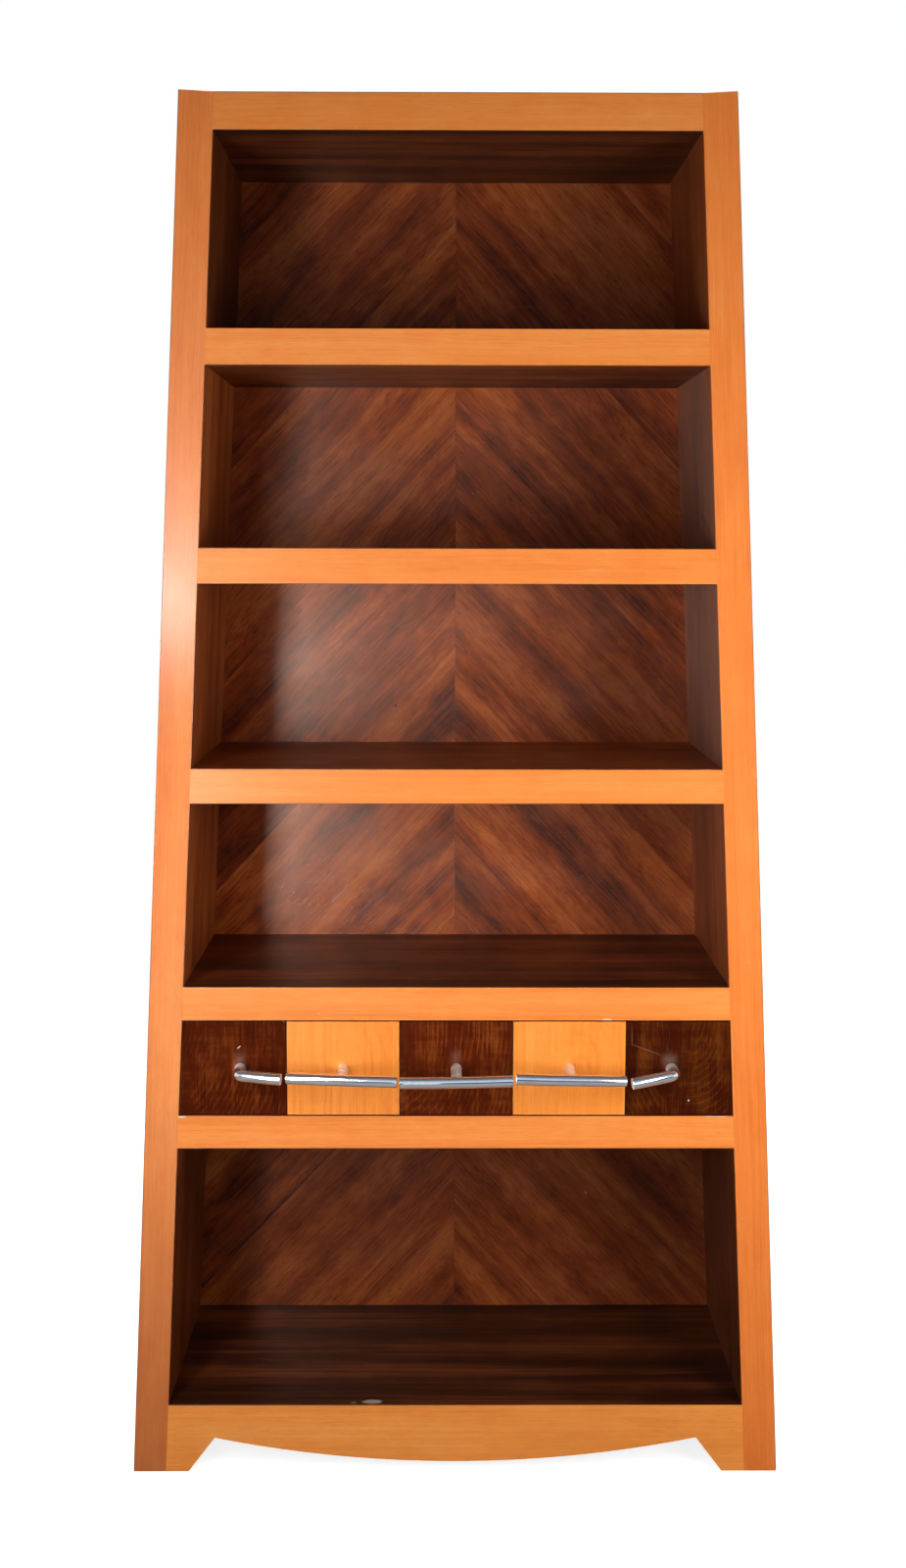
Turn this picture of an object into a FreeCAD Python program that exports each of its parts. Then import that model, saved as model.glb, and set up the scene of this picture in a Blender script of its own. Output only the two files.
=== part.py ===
import FreeCAD, Part
import math
import os
import Sketcher

# A bookcase that tapers to the top: open bays, and a row of five drawers above the lowest bay.
# One bowed chrome bar, cut at each drawer, makes the pulls. Dark veneered boards, light lippings.
# Millimetres, +Z up, +Y to the back. The origin is the middle of the footprint, pulls included.

DRAWERS = 5
LAST = DRAWERS - 1
SIDES = (("left", -1), ("right", 1))

# Driving sizes. Sideways sizes of the leaning sides are measured level.
SIZES = {
    # Case
    "bottom_width": 924,
    "top_width": 725,
    "case_depth": 345,
    "side_thickness": 47,
    "board_thickness": 48,
    "veneer": 0.8,
    "lipping_depth": 22,
    "housing_depth": 8,
    "back_thickness": 9,
    "back_lap": 10,
    "overrun": 5,
    # Clear heights, from the floor up
    "floor_height": 101,
    "bottom_bay": 380,
    "drawer_bay": 136,
    "fourth_bay": 256,
    "third_bay": 250,
    "second_bay": 239,
    "first_bay": 250,
    # Apron
    "foot_width": 32,
    "foot_slant": 38,
    "notch_height": 51,
    "belly_clearance": 15,
    # Partitions beside the drawers
    "divider_thickness": 16,
    "divider_housing": 6,
    "housing_setback": 10,
    "guide_thickness": 12,
    "guide_height": 30,
    # Drawers
    "drawer_width": 157.5,
    "front_thickness": 20,
    "front_gap": 1.2,
    "stop_gap": 0.3,
    "slide_gap": 0.3,
    "box_play": 1,
    "box_wall": 12,
    "box_headroom": 14,
    "rear_room": 30,
    "tongue_length": 6,
    "tongue_inset": 8,
    "back_inset": 10,
    "back_housing": 4,
    "bottom_thickness": 6,
    "bottom_rise": 8,
    "groove_depth": 5,
    # Pulls
    "bar_diameter": 16,
    "bar_standoff": 66,
    "elbow_standoff": 33,
    "elbow_inside": 2.5,
    "elbow_shift": 8,
    "inner_bar_gap": 2.5,
    "outer_bar_gap": 5.5,
    "post_diameter": 15,
    "saddle_gap": 0.01,
    "screw_diameter": 5,
    "screw_grip": 12,
    "bore_room": 2,
    "bore_play": 0.05,
    "hole_play": 0.25,
    "head_diameter": 10,
    "head_height": 3.5,
}

# Levels, depths and curves that follow from the driving sizes
PLACES = {
    "bottom_low": "size.floor_height - size.board_thickness",
    "deck_low": "size.floor_height + size.bottom_bay",
    "deck_top": "place.deck_low + size.board_thickness",
    "cover_low": "place.deck_top + size.drawer_bay",
    "cover_top": "place.cover_low + size.board_thickness",
    "lower_low": "place.cover_top + size.fourth_bay",
    "lower_top": "place.lower_low + size.board_thickness",
    "middle_low": "place.lower_top + size.third_bay",
    "middle_top": "place.middle_low + size.board_thickness",
    "upper_low": "place.middle_top + size.second_bay",
    "upper_top": "place.upper_low + size.board_thickness",
    "top_low": "place.upper_top + size.first_bay",
    "height": "place.top_low + size.board_thickness",
    "taper": "(size.bottom_width - size.top_width) / 2 / place.height",
    "outer_top": "place.height + place.taper * size.side_thickness",
    "front": "(size.bar_standoff + size.bar_diameter / 2 - size.case_depth) / 2",
    "lipping_back": "place.front + size.lipping_depth",
    "panel_face": "place.front + size.case_depth - size.back_thickness",
    "board_depth": "place.panel_face - place.lipping_back",
    "notch_reach": "size.bottom_width / 2 - size.side_thickness - size.foot_width - size.foot_slant",
    "belly_sag": "size.notch_height - size.belly_clearance",
    "belly_radius": "(place.notch_reach ^ 2 + place.belly_sag ^ 2) / 2 / place.belly_sag",
    "front_back": "place.front + size.front_thickness",
    "divider_front": "place.front_back + size.stop_gap",
    "divider_depth": "place.panel_face - place.divider_front",
    "housing_start": "max(place.lipping_back; place.divider_front) + size.housing_setback",
    "housing_run": "place.panel_face - place.housing_start",
    "box_low": "place.deck_top + size.slide_gap",
    "box_top": "place.cover_low - size.box_headroom",
    "box_end": "place.panel_face - size.rear_room",
    "groove_low": "place.box_low + size.bottom_rise",
    "groove_top": "place.groove_low + size.bottom_thickness",
    "back_start": "place.box_end - size.back_inset - size.box_wall",
    "end_reach": "size.bottom_width / 2 - size.side_thickness - place.taper * place.cover_low",
    "box_reach": "place.end_reach - size.guide_thickness - size.box_play",
    "bar_radius": "size.bar_diameter / 2",
    "pull_level": "place.deck_top + size.drawer_bay / 2",
    "joint_reach": f"({DRAWERS} / 2 - 1) * size.drawer_width",
    "elbow_reach": "(place.joint_reach + place.end_reach) / 2 - size.elbow_shift",
    "bow_sag": "size.bar_standoff - size.elbow_standoff",
    "bow_radius": "(place.elbow_reach ^ 2 + place.bow_sag ^ 2) / 2 / place.bow_sag",
    "bow_centre": "place.front - size.bar_standoff + place.bow_radius",
    "saddle_radius": "place.bar_radius + size.post_diameter ^ 2 / 8 / place.bow_radius + size.saddle_gap",
    "bend_radius": "place.bar_radius + size.elbow_inside",
    "bend_orbit": "place.bow_radius - place.bend_radius",
    "bend_turn": "asin((place.elbow_reach - place.bend_radius) / place.bend_orbit)",
    "bend_y": "place.bow_centre - place.bend_orbit * cos(place.bend_turn)",
    "bore_radius": "size.screw_diameter / 2 + size.bore_play",
    "bore_depth": "size.screw_grip + size.bore_room",
}

# Boards from the floor up, each with the levels of its two faces
BOARDS = {
    "bottom_board": ("place.bottom_low", "size.floor_height"),
    "drawer_deck": ("place.deck_low", "place.deck_top"),
    "drawer_cover": ("place.cover_low", "place.cover_top"),
    "lower_shelf": ("place.lower_low", "place.lower_top"),
    "middle_shelf": ("place.middle_low", "place.middle_top"),
    "upper_shelf": ("place.upper_low", "place.upper_top"),
    "top_board": ("place.top_low", "place.height"),
}
RAILS = {
    "drawer_deck": "drawer_deck_rail",
    "drawer_cover": "drawer_cover_rail",
    "lower_shelf": "lower_shelf_rail",
    "middle_shelf": "middle_shelf_rail",
    "upper_shelf": "upper_shelf_rail",
    "top_board": "top_rail",
}

# The rails and the apron fill the room between a board's veneers, and butt against the stiles
RAIL_LEVELS = {name: (f"({low} + size.veneer)", f"({high} - size.veneer)")
               for name, (low, high) in BOARDS.items()}
APRON_TOP = "(size.floor_height - size.veneer)"

doc = FreeCAD.newDocument("bookcase")
nodes = []


def fill_sheet(name, cells):
    """Make a spreadsheet with one named cell for each entry."""
    sheet = doc.addObject("Spreadsheet::Sheet", name)
    for row, (alias, value) in enumerate(cells.items(), start=1):
        sheet.set(f"A{row}", alias)
        sheet.set(f"B{row}", str(value))
        sheet.setAlias(f"B{row}", alias)


fill_sheet("size", SIZES)
doc.recompute()
fill_sheet("place", {alias: "=" + formula for alias, formula in PLACES.items()})
doc.recompute()


# Outlines are written as formulas in the sheets' names, and a sketch holds them as constraints

def outer(level, inset="0"):
    """Distance from the middle to a side's outer face at a level, less an inset."""
    return f"(size.bottom_width / 2 - place.taper * ({level}) - ({inset}))"


def inner(level, lap="0"):
    """Distance from the middle to a side's inner face at a level, plus a lap into the side."""
    return f"(size.bottom_width / 2 - size.side_thickness - place.taper * ({level}) + ({lap}))"


def signed(sign, distance):
    """Place a distance on the left (-1) or right (1) of the middle."""
    return f"{sign} * ({distance})"


def rectangle(left, right, low, high):
    """Upright rectangle between two sideways places and two levels."""
    return [(left, low), (right, low), (right, high), (left, high)]


def leaning(left_at, right_at, low, high):
    """Four-sided outline whose left and right edges depend on the level."""
    return [(left_at(low), low), (right_at(low), low), (right_at(high), high), (left_at(high), high)]


def across(low, high, lap="0"):
    """Outline that spans the case between its sides, with a lap into each of them."""
    return leaning(lambda level: signed(-1, inner(level, lap)), lambda level: inner(level, lap), low, high)


def value_of(owner, formula):
    """Number that a formula gives now."""
    result = owner.evalExpression(formula)
    return float(getattr(result, "Value", result))


def bind(sketch, constraint, formula):
    """Add a dimension to a sketch and tie it to a formula."""
    index = sketch.addConstraint(constraint)
    sketch.setExpression(f"Constraints[{index}]", formula)


def arc_between(start, end, radius):
    """Short arc, counterclockwise from start to end, with its middle on the left of that way."""
    way = end - start
    middle = (start + end) / 2
    rise = math.sqrt(radius ** 2 - (way.Length / 2) ** 2)
    centre = middle + FreeCAD.Vector(-way.y, way.x, 0) / way.Length * rise
    first = math.atan2(start.y - centre.y, start.x - centre.x)
    last = math.atan2(end.y - centre.y, end.x - centre.x)
    return Part.ArcOfCircle(Part.Circle(centre, FreeCAD.Vector(0, 0, 1), radius), first, last)


def draw_loop(sketch, points, arcs=None):
    """Draw a closed outline and tie every corner to its formulas.

    points holds a pair of formulas for each corner. arcs gives, for the number of a corner, the
    radius of the arc that leaves it in place of a straight edge.
    """
    arcs = arcs or {}
    corners = [FreeCAD.Vector(value_of(sketch, x), value_of(sketch, y), 0) for x, y in points]
    edges = []
    for number, corner in enumerate(corners):
        following = corners[(number + 1) % len(corners)]
        if number in arcs:
            edge = arc_between(corner, following, value_of(sketch, arcs[number]))
        else:
            edge = Part.LineSegment(corner, following)
        edges.append(sketch.addGeometry(edge))
    for number, edge in enumerate(edges):
        following = edges[(number + 1) % len(edges)]
        sketch.addConstraint(Sketcher.Constraint("Coincident", edge, 2, following, 1))
    for number, (edge, corner) in enumerate(zip(edges, corners)):
        x, y = points[number]
        bind(sketch, Sketcher.Constraint("DistanceX", -1, 1, edge, 1, corner.x), x)
        bind(sketch, Sketcher.Constraint("DistanceY", -1, 1, edge, 1, corner.y), y)
        if number in arcs:
            radius = value_of(sketch, arcs[number])
            bind(sketch, Sketcher.Constraint("Radius", edge, radius), arcs[number])


def draw_circle(sketch, x, y, radius):
    """Draw a circle and tie its centre and radius to their formulas."""
    centre = FreeCAD.Vector(value_of(sketch, x), value_of(sketch, y), 0)
    size = value_of(sketch, radius)
    edge = sketch.addGeometry(Part.Circle(centre, FreeCAD.Vector(0, 0, 1), size))
    bind(sketch, Sketcher.Constraint("DistanceX", -1, 1, edge, 3, centre.x), x)
    bind(sketch, Sketcher.Constraint("DistanceY", -1, 1, edge, 3, centre.y), y)
    bind(sketch, Sketcher.Constraint("Radius", edge, size), radius)


def make_body(label):
    """Start a piece that has a file of its own."""
    body = doc.addObject("PartDesign::Body", label)
    body.Label = label
    nodes.append(body)
    return body


def make_sketch(body, name, role, start="0"):
    """Sketch on one of the body's own planes. An upright one stands at the depth start."""
    sketch = body.newObject("Sketcher::SketchObject", f"{body.Name}_{name}_sketch")
    plane = [item for item in body.Origin.OriginFeatures if item.Role == role][0]
    sketch.AttachmentSupport = (plane, [""])
    sketch.MapMode = "FlatFace"
    sketch.setExpression("AttachmentOffset.Base.z", f"-({start})")
    return sketch


def upright_sketch(body, name, loops, circles, start):
    """Sketch seen from the front at the depth start, with straight outlines and circles."""
    sketch = make_sketch(body, name, "XZ_Plane", start)
    for loop in loops:
        draw_loop(sketch, loop)
    for x, level, radius in circles:
        draw_circle(sketch, x, level, radius)
    return sketch


def extrude(body, sketch, name, kind, length):
    """Pad or pocket a sketch towards the back, and make sure that it changed the piece."""
    before = 0 if body.Tip is None else body.Shape.Volume
    feature = body.newObject(f"PartDesign::{kind}", f"{body.Name}_{name}")
    feature.Profile = sketch
    feature.Reversed = kind == "Pad"
    feature.setExpression("Length", length)
    sketch.Visibility = False
    doc.recompute()
    change = body.Shape.Volume - before
    if (kind == "Pad") != (change > 0):
        raise RuntimeError(f"{body.Label}: {name} did not change the piece")


def add(body, name, loops, start, length):
    """Add material from the depth start towards the back."""
    extrude(body, upright_sketch(body, name, loops, (), start), name, "Pad", length)


def cut(body, name, loops, start, length, circles=()):
    """Take material away from the depth start towards the back."""
    extrude(body, upright_sketch(body, name, loops, circles, start), name, "Pocket", length)


# Case

def upright(sign, inset):
    """Front outline of a side, less an inset on both faces, with its top cut square to its lean."""
    peak = f"(place.outer_top - place.taper * {inset})"
    return [(signed(sign, inner("0", inset)), "0"), (signed(sign, outer("0", inset)), "0"),
            (signed(sign, outer(peak, inset)), peak),
            (signed(sign, inner("place.height", inset)), "place.height")]


def let_in(sign, depth, low, high):
    """Front outline of a cut into the inner face of a side, between two levels."""
    return leaning(lambda level: signed(sign, inner(level, "-size.overrun")),
                   lambda level: signed(sign, inner(level, depth)), low, high)


def make_side(hand, sign):
    """Leaning side board: groove for the stile, seats for boards and rails, rabbet for the back."""
    body = make_body(f"{hand}_side")
    add(body, "board", [upright(sign, "0")], "place.front", "size.case_depth")
    over_top = "place.outer_top + size.overrun"
    groove = leaning(lambda level: signed(sign, inner(level, "size.veneer")),
                     lambda level: signed(sign, outer(level, "size.veneer")), "-size.overrun", over_top)
    cut(body, "stile_groove", [groove], "place.front", "size.lipping_depth")
    notches = [let_in(sign, "size.veneer", "-size.overrun", APRON_TOP)]
    for name in RAILS:
        low, high = RAIL_LEVELS[name]
        notches.append(let_in(sign, "size.veneer", low, over_top if name == "top_board" else high))
    cut(body, "rail_notches", notches, "place.front", "size.lipping_depth")
    housings = [let_in(sign, "size.housing_depth", low, high) for low, high in BOARDS.values()]
    cut(body, "housings", housings, "place.lipping_back", "place.board_depth")
    open_top = rectangle(signed(sign, inner("place.height", "-size.overrun")),
                         signed(sign, inner("place.height", "size.housing_depth")), "place.height", over_top)
    cut(body, "open_top", [open_top], "place.lipping_back", "place.board_depth")
    rabbet = let_in(sign, "size.back_lap", "place.bottom_low", over_top)
    cut(body, "back_rabbet", [rabbet], "place.panel_face", "size.back_thickness + size.overrun")


def make_stile(hand, sign):
    """Light lipping on the front of a side, between the two veneers."""
    body = make_body(f"{hand}_stile")
    add(body, "lipping", [upright(sign, "size.veneer")], "place.front", "size.lipping_depth")


def make_board(label, low, high):
    """Level board with tongues in both sides, whose veneers lap over the lipping in front."""
    body = make_body(label)
    add(body, "core", [across(low, high, "size.housing_depth")], "place.lipping_back", "place.board_depth")
    veneers = [across(f"{high} - size.veneer", high, "size.veneer" if label == "top_board" else "0")]
    if label in RAILS:
        veneers.append(across(low, f"{low} + size.veneer"))
    add(body, "veneers", veneers, "place.front", "size.lipping_depth")
    seats = {"drawer_deck": ("place.deck_top - size.divider_housing", "place.deck_top + size.overrun"),
             "drawer_cover": ("place.cover_low - size.overrun", "place.cover_low + size.divider_housing")}
    if label in seats:
        cut(body, "divider_housings", divider_outlines(*seats[label]), "place.housing_start",
            "place.housing_run")


def make_rail(label, low, high):
    """Light lipping on the front of a board, between its two veneers and the two stiles."""
    body = make_body(label)
    add(body, "lipping", [across(low, high, "size.veneer")], "place.front", "size.lipping_depth")


def make_apron():
    """Board under the lowest bay: two feet, slanted notches and an arched belly between them."""
    body = make_body("apron")
    toe = inner("0", "-size.foot_width")
    heel = inner("0", "size.veneer")
    end = inner(APRON_TOP, "size.veneer")
    points = [
        (signed(-1, heel), "0"),
        (signed(-1, toe), "0"),
        ("-place.notch_reach", "size.notch_height"),
        ("place.notch_reach", "size.notch_height"),
        (toe, "0"),
        (heel, "0"),
        (end, APRON_TOP),
        (signed(-1, end), APRON_TOP),
    ]
    sketch = make_sketch(body, "board", "XZ_Plane", "place.front")
    draw_loop(sketch, points, arcs={2: "place.belly_radius"})
    extrude(body, sketch, "board", "Pad", "size.lipping_depth")


def make_back_panel():
    """Thin panel in the rabbets of the sides, over the back edges of all the boards."""
    body = make_body("back_panel")
    add(body, "panel", [across("place.bottom_low", "place.height", "size.back_lap")], "place.panel_face",
        "size.back_thickness")


# Partitions in the drawer bay

def boundary(index):
    """Place of the line between drawer index - 1 and drawer index, counted from 0 at the left."""
    return f"({index} - {DRAWERS} / 2) * size.drawer_width"


def divider_outlines(low, high):
    """Front outlines of the upright partitions between two levels."""
    half = "size.divider_thickness / 2"
    return [rectangle(f"{boundary(index)} - {half}", f"{boundary(index)} + {half}", low, high)
            for index in range(1, DRAWERS)]


def make_dividers():
    """Upright partitions, let into the deck and the cover, that also stop the drawer fronts."""
    body = make_body("drawer_dividers")
    add(body, "partitions", divider_outlines("place.deck_top", "place.cover_low"), "place.divider_front",
        "place.divider_depth")
    tongues = divider_outlines("place.deck_top - size.divider_housing", "place.deck_top")
    tongues += divider_outlines("place.cover_low", "place.cover_low + size.divider_housing")
    add(body, "tongues", tongues, "place.housing_start", "place.housing_run")


def make_guides():
    """Battens on the deck that guide the outer sides of the two end drawers."""
    body = make_body("end_drawer_guides")
    near = "place.end_reach - size.guide_thickness"
    battens = [rectangle(signed(sign, near), signed(sign, "place.end_reach"), "place.deck_top",
                         "place.deck_top + size.guide_height") for _, sign in SIDES]
    add(body, "battens", battens, "place.divider_front", "place.divider_depth")


# Drawers

def front_left(index):
    """Left edge of a drawer front as a function of the level."""
    if index == 0:
        return lambda level: signed(-1, inner(level, "-size.front_gap"))
    return lambda level: f"{boundary(index)} + size.front_gap / 2"


def front_right(index):
    """Right edge of a drawer front as a function of the level."""
    if index == LAST:
        return lambda level: inner(level, "-size.front_gap")
    return lambda level: f"{boundary(index + 1)} - size.front_gap / 2"


def box_left(index):
    """Outer face of a drawer box on the left."""
    if index == 0:
        return "-place.box_reach"
    return f"({boundary(index)} + size.divider_thickness / 2 + size.box_play)"


def box_right(index):
    """Outer face of a drawer box on the right."""
    if index == LAST:
        return "place.box_reach"
    return f"({boundary(index + 1)} - size.divider_thickness / 2 - size.box_play)"


def post_place(index):
    """Sideways place where a pull is fixed: mid-drawer, or the elbow of an end drawer."""
    if index == 0:
        return "-place.elbow_reach"
    if index == LAST:
        return "place.elbow_reach"
    return f"({boundary(index)} + size.drawer_width / 2)"


def side_tongue(face, inward):
    """Outline of the tongue at the front end of a drawer side."""
    return rectangle(face, f"{face} + {inward} * size.box_wall", "place.box_low + size.tongue_inset",
                     "place.box_top - size.tongue_inset")


def bottom_outline(index):
    """Outline of a drawer bottom, with its edges in the grooves of the sides."""
    return rectangle(f"{box_left(index)} + size.box_wall - size.groove_depth",
                     f"{box_right(index)} - size.box_wall + size.groove_depth",
                     "place.groove_low", "place.groove_top")


def make_front(index):
    """Drawer front: housings and a groove for the box, and the hole of the pull's screw."""
    body = make_body(f"drawer_{index + 1}_front")
    face = leaning(front_left(index), front_right(index), "place.deck_top + size.front_gap",
                   "place.cover_low - size.front_gap")
    add(body, "board", [face], "place.front", "size.front_thickness")
    tongues = [side_tongue(box_left(index), 1), side_tongue(box_right(index), -1)]
    cut(body, "side_housings", tongues, "place.front_back - size.tongue_length",
        "size.tongue_length + size.overrun")
    cut(body, "bottom_groove", [bottom_outline(index)], "place.front_back - size.groove_depth",
        "size.groove_depth + size.overrun")
    hole = (post_place(index), "place.pull_level", "size.screw_diameter / 2 + size.hole_play")
    cut(body, "screw_hole", (), "place.front - size.overrun", "size.front_thickness + 2 * size.overrun",
        [hole])


def make_box_side(index, hand, face, inward):
    """Side of a drawer box: tongue in the front, groove for the bottom, housing for the back."""
    body = make_body(f"drawer_{index + 1}_{hand}_side")
    wall = rectangle(face, f"{face} + {inward} * size.box_wall", "place.box_low", "place.box_top")
    add(body, "board", [wall], "place.front_back", "place.box_end - place.front_back")
    add(body, "tongue", [side_tongue(face, inward)], "place.front_back - size.tongue_length",
        "size.tongue_length")
    past = f"{face} + {inward} * (size.box_wall + size.overrun)"
    groove = rectangle(f"{face} + {inward} * (size.box_wall - size.groove_depth)", past, "place.groove_low",
                       "place.groove_top")
    cut(body, "bottom_groove", [groove], "place.front_back - size.tongue_length - size.overrun",
        "place.box_end - place.front_back + size.tongue_length + 2 * size.overrun")
    housing = rectangle(f"{face} + {inward} * (size.box_wall - size.back_housing)", past, "place.groove_top",
                        "place.box_top + size.overrun")
    cut(body, "back_housing", [housing], "place.back_start", "size.box_wall")


def make_box_back(index):
    """Back of a drawer box, standing on the bottom between the two sides."""
    body = make_body(f"drawer_{index + 1}_back")
    shoulder = "(size.box_wall - size.back_housing)"
    wall = rectangle(f"{box_left(index)} + {shoulder}", f"{box_right(index)} - {shoulder}",
                     "place.groove_top", "place.box_top")
    add(body, "board", [wall], "place.back_start", "size.box_wall")


def make_box_bottom(index):
    """Thin bottom of a drawer, slid into its grooves from the back."""
    body = make_body(f"drawer_{index + 1}_bottom")
    add(body, "panel", [bottom_outline(index)], "place.front_back - size.groove_depth",
        "place.box_end - place.front_back + size.groove_depth")


# Pulls

def primitive(kind, name, sizes, base, rotation):
    """Solid primitive whose sizes, place and rotation are tied to formulas."""
    item = doc.addObject(f"Part::{kind}", name)
    for key, formula in sizes.items():
        item.setExpression(key, formula)
    for axis, formula in zip("xyz", base):
        item.setExpression(f"Placement.Base.{axis}", formula)
    item.setExpression("Placement.Rotation", rotation)
    return item


def turned(angle):
    """Rotation about the vertical."""
    return f"rotation(vector(0; 0; 1); {angle})"


# Lays an upright primitive along the depth, towards the front, or sideways
TO_THE_FRONT = "rotation(vector(1; 0; 0); 90)"
SIDEWAYS = "rotation(vector(0; 1; 0); 90)"


def combine(kind, label, links, keep=True):
    """Boolean of solids, as a piece with a file of its own where keep is set."""
    item = doc.addObject(f"Part::{kind}", label)
    for key, link in links.items():
        setattr(item, key, link)
    item.Label = label
    if keep:
        nodes.append(item)
    return item


def bow_angle(place):
    """Angle on the bow, seen from its centre, of a sideways place."""
    return f"asin(({place}) / place.bow_radius)"


def bow_piece(name, start, end):
    """Round bar along the bow between two angles, counted from the middle of the bow."""
    sizes = {"Radius1": "place.bow_radius", "Radius2": "place.bar_radius", "Angle3": f"{end} - {start}"}
    return primitive("Torus", name, sizes, ("0", "place.bow_centre", "place.pull_level"),
                     turned(f"{start} - 90 deg"))


def bore_piece(name, index):
    """Tapped bore in the foot of a pull, for its screw."""
    sizes = {"Radius": "place.bore_radius", "Height": "place.bore_depth + size.overrun"}
    base = (post_place(index), "place.front + size.overrun", "place.pull_level")
    return primitive("Cylinder", name, sizes, base, TO_THE_FRONT)


def make_middle_bar(index):
    """Plain section of the bow. It stops short of the drawer's edges, more so at the outer one."""
    gaps = {edge: "size.outer_bar_gap" if edge in (1, LAST) else "size.inner_bar_gap"
            for edge in (index, index + 1)}
    start = bow_angle(f"{boundary(index)} + {gaps[index]}")
    end = bow_angle(f"{boundary(index + 1)} - {gaps[index + 1]}")
    bar = bow_piece(f"drawer_{index + 1}_bar", start, end)
    bar.Label = bar.Name
    nodes.append(bar)


def make_post(index):
    """Round post from the drawer front to the bar, saddled to the bar and bored for the screw."""
    name = f"drawer_{index + 1}_post"
    place = post_place(index)
    turn = bow_angle(place)
    sizes = {"Radius": "size.post_diameter / 2",
             "Height": f"place.front - place.bow_centre + place.bow_radius * cos({turn})"}
    blank = primitive("Cylinder", f"{name}_blank", sizes, (place, "place.front", "place.pull_level"),
                      TO_THE_FRONT)
    saddle = primitive(
        "Cylinder", f"{name}_saddle", {"Radius": "place.saddle_radius", "Height": "2 * size.post_diameter"},
        (f"{place} - size.post_diameter * cos({turn})",
         f"place.bow_centre - place.bow_radius * cos({turn}) - size.post_diameter * sin({turn})",
         "place.pull_level"), f"{turned(turn)} * {SIDEWAYS}")
    bored = combine("Cut", f"{name}_bored", {"Base": blank, "Tool": bore_piece(f"{name}_bore", index)},
                    keep=False)
    combine("Cut", name, {"Base": bored, "Tool": saddle})


def make_end_bars():
    """End sections of the bow: each bends back at its outer end to stand on the drawer front."""
    name = f"drawer_{DRAWERS}_bar"
    arm = bow_piece(f"{name}_arm", bow_angle("place.joint_reach + size.outer_bar_gap"), "place.bend_turn")
    bend_x = "place.bend_orbit * sin(place.bend_turn)"
    elbow = primitive(
        "Torus", f"{name}_elbow",
        {"Radius1": "place.bend_radius", "Radius2": "place.bar_radius", "Angle3": "90 deg - place.bend_turn"},
        (bend_x, "place.bend_y", "place.pull_level"), turned("place.bend_turn - 90 deg"))
    foot = primitive(
        "Cylinder", f"{name}_foot", {"Radius": "place.bar_radius", "Height": "place.front - place.bend_y"},
        ("place.elbow_reach", "place.front", "place.pull_level"), TO_THE_FRONT)
    blank = combine("MultiFuse", f"{name}_blank", {"Shapes": [arm, elbow, foot]}, keep=False)
    bar = combine("Cut", name, {"Base": blank, "Tool": bore_piece(f"{name}_bore", LAST)})
    combine("Mirroring", "drawer_1_bar", {"Source": bar, "Normal": FreeCAD.Vector(1, 0, 0)})


def make_screw(index):
    """Machine screw with a cheese head, turned about its own axis, from inside the drawer."""
    body = make_body(f"drawer_{index + 1}_screw")
    sketch = make_sketch(body, "profile", "XY_Plane")
    shank = "size.screw_diameter / 2"
    head = "size.head_diameter / 2"
    tip = "-(size.front_thickness + size.screw_grip)"
    draw_loop(sketch, [("0", tip), (shank, tip), (shank, "0"), (head, "0"), (head, "size.head_height"),
                       ("0", "size.head_height")])
    screw = body.newObject("PartDesign::Revolution", f"{body.Name}_turning")
    screw.Profile = sketch
    screw.ReferenceAxis = (sketch, ["V_Axis"])
    for axis, formula in zip("xyz", (post_place(index), "place.front_back", "place.pull_level")):
        body.setExpression(f"Placement.Base.{axis}", formula)


def make_drawer(index):
    """One drawer: front, box and the screw of its pull."""
    make_front(index)
    make_box_side(index, "left", box_left(index), 1)
    make_box_side(index, "right", box_right(index), -1)
    make_box_back(index)
    make_box_bottom(index)
    make_screw(index)


for hand, sign in SIDES:
    make_side(hand, sign)
    make_stile(hand, sign)
for label, (low, high) in BOARDS.items():
    make_board(label, low, high)
    if label in RAILS:
        make_rail(RAILS[label], *RAIL_LEVELS[label])
make_apron()
make_back_panel()
make_dividers()
make_guides()
for index in range(DRAWERS):
    make_drawer(index)
for index in range(1, LAST):
    make_middle_bar(index)
    make_post(index)
make_end_bars()
doc.recompute()

for item in doc.Objects:
    if "Invalid" in item.State or "Error" in item.State:
        raise RuntimeError(f"{item.Label} failed: {item.State}")
for node in nodes:
    if node.Shape.isNull() or not node.Shape.isValid() or not node.Shape.Solids:
        raise RuntimeError(f"{node.Label} has no sound solid")

os.makedirs("parts", exist_ok=True)
for node in nodes:
    node.Shape.exportStep(f"parts/{node.Label}.step")
print(f"{len(nodes)} pieces written")
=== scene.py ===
"""Dressed model of a tapering bookcase with five drawers behind one bowed chrome pull."""

import logging
import math
from dataclasses import asdict, dataclass, field, replace
from enum import Enum
from typing import Any, Callable

import bpy
from mathutils import Matrix, Vector


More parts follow.
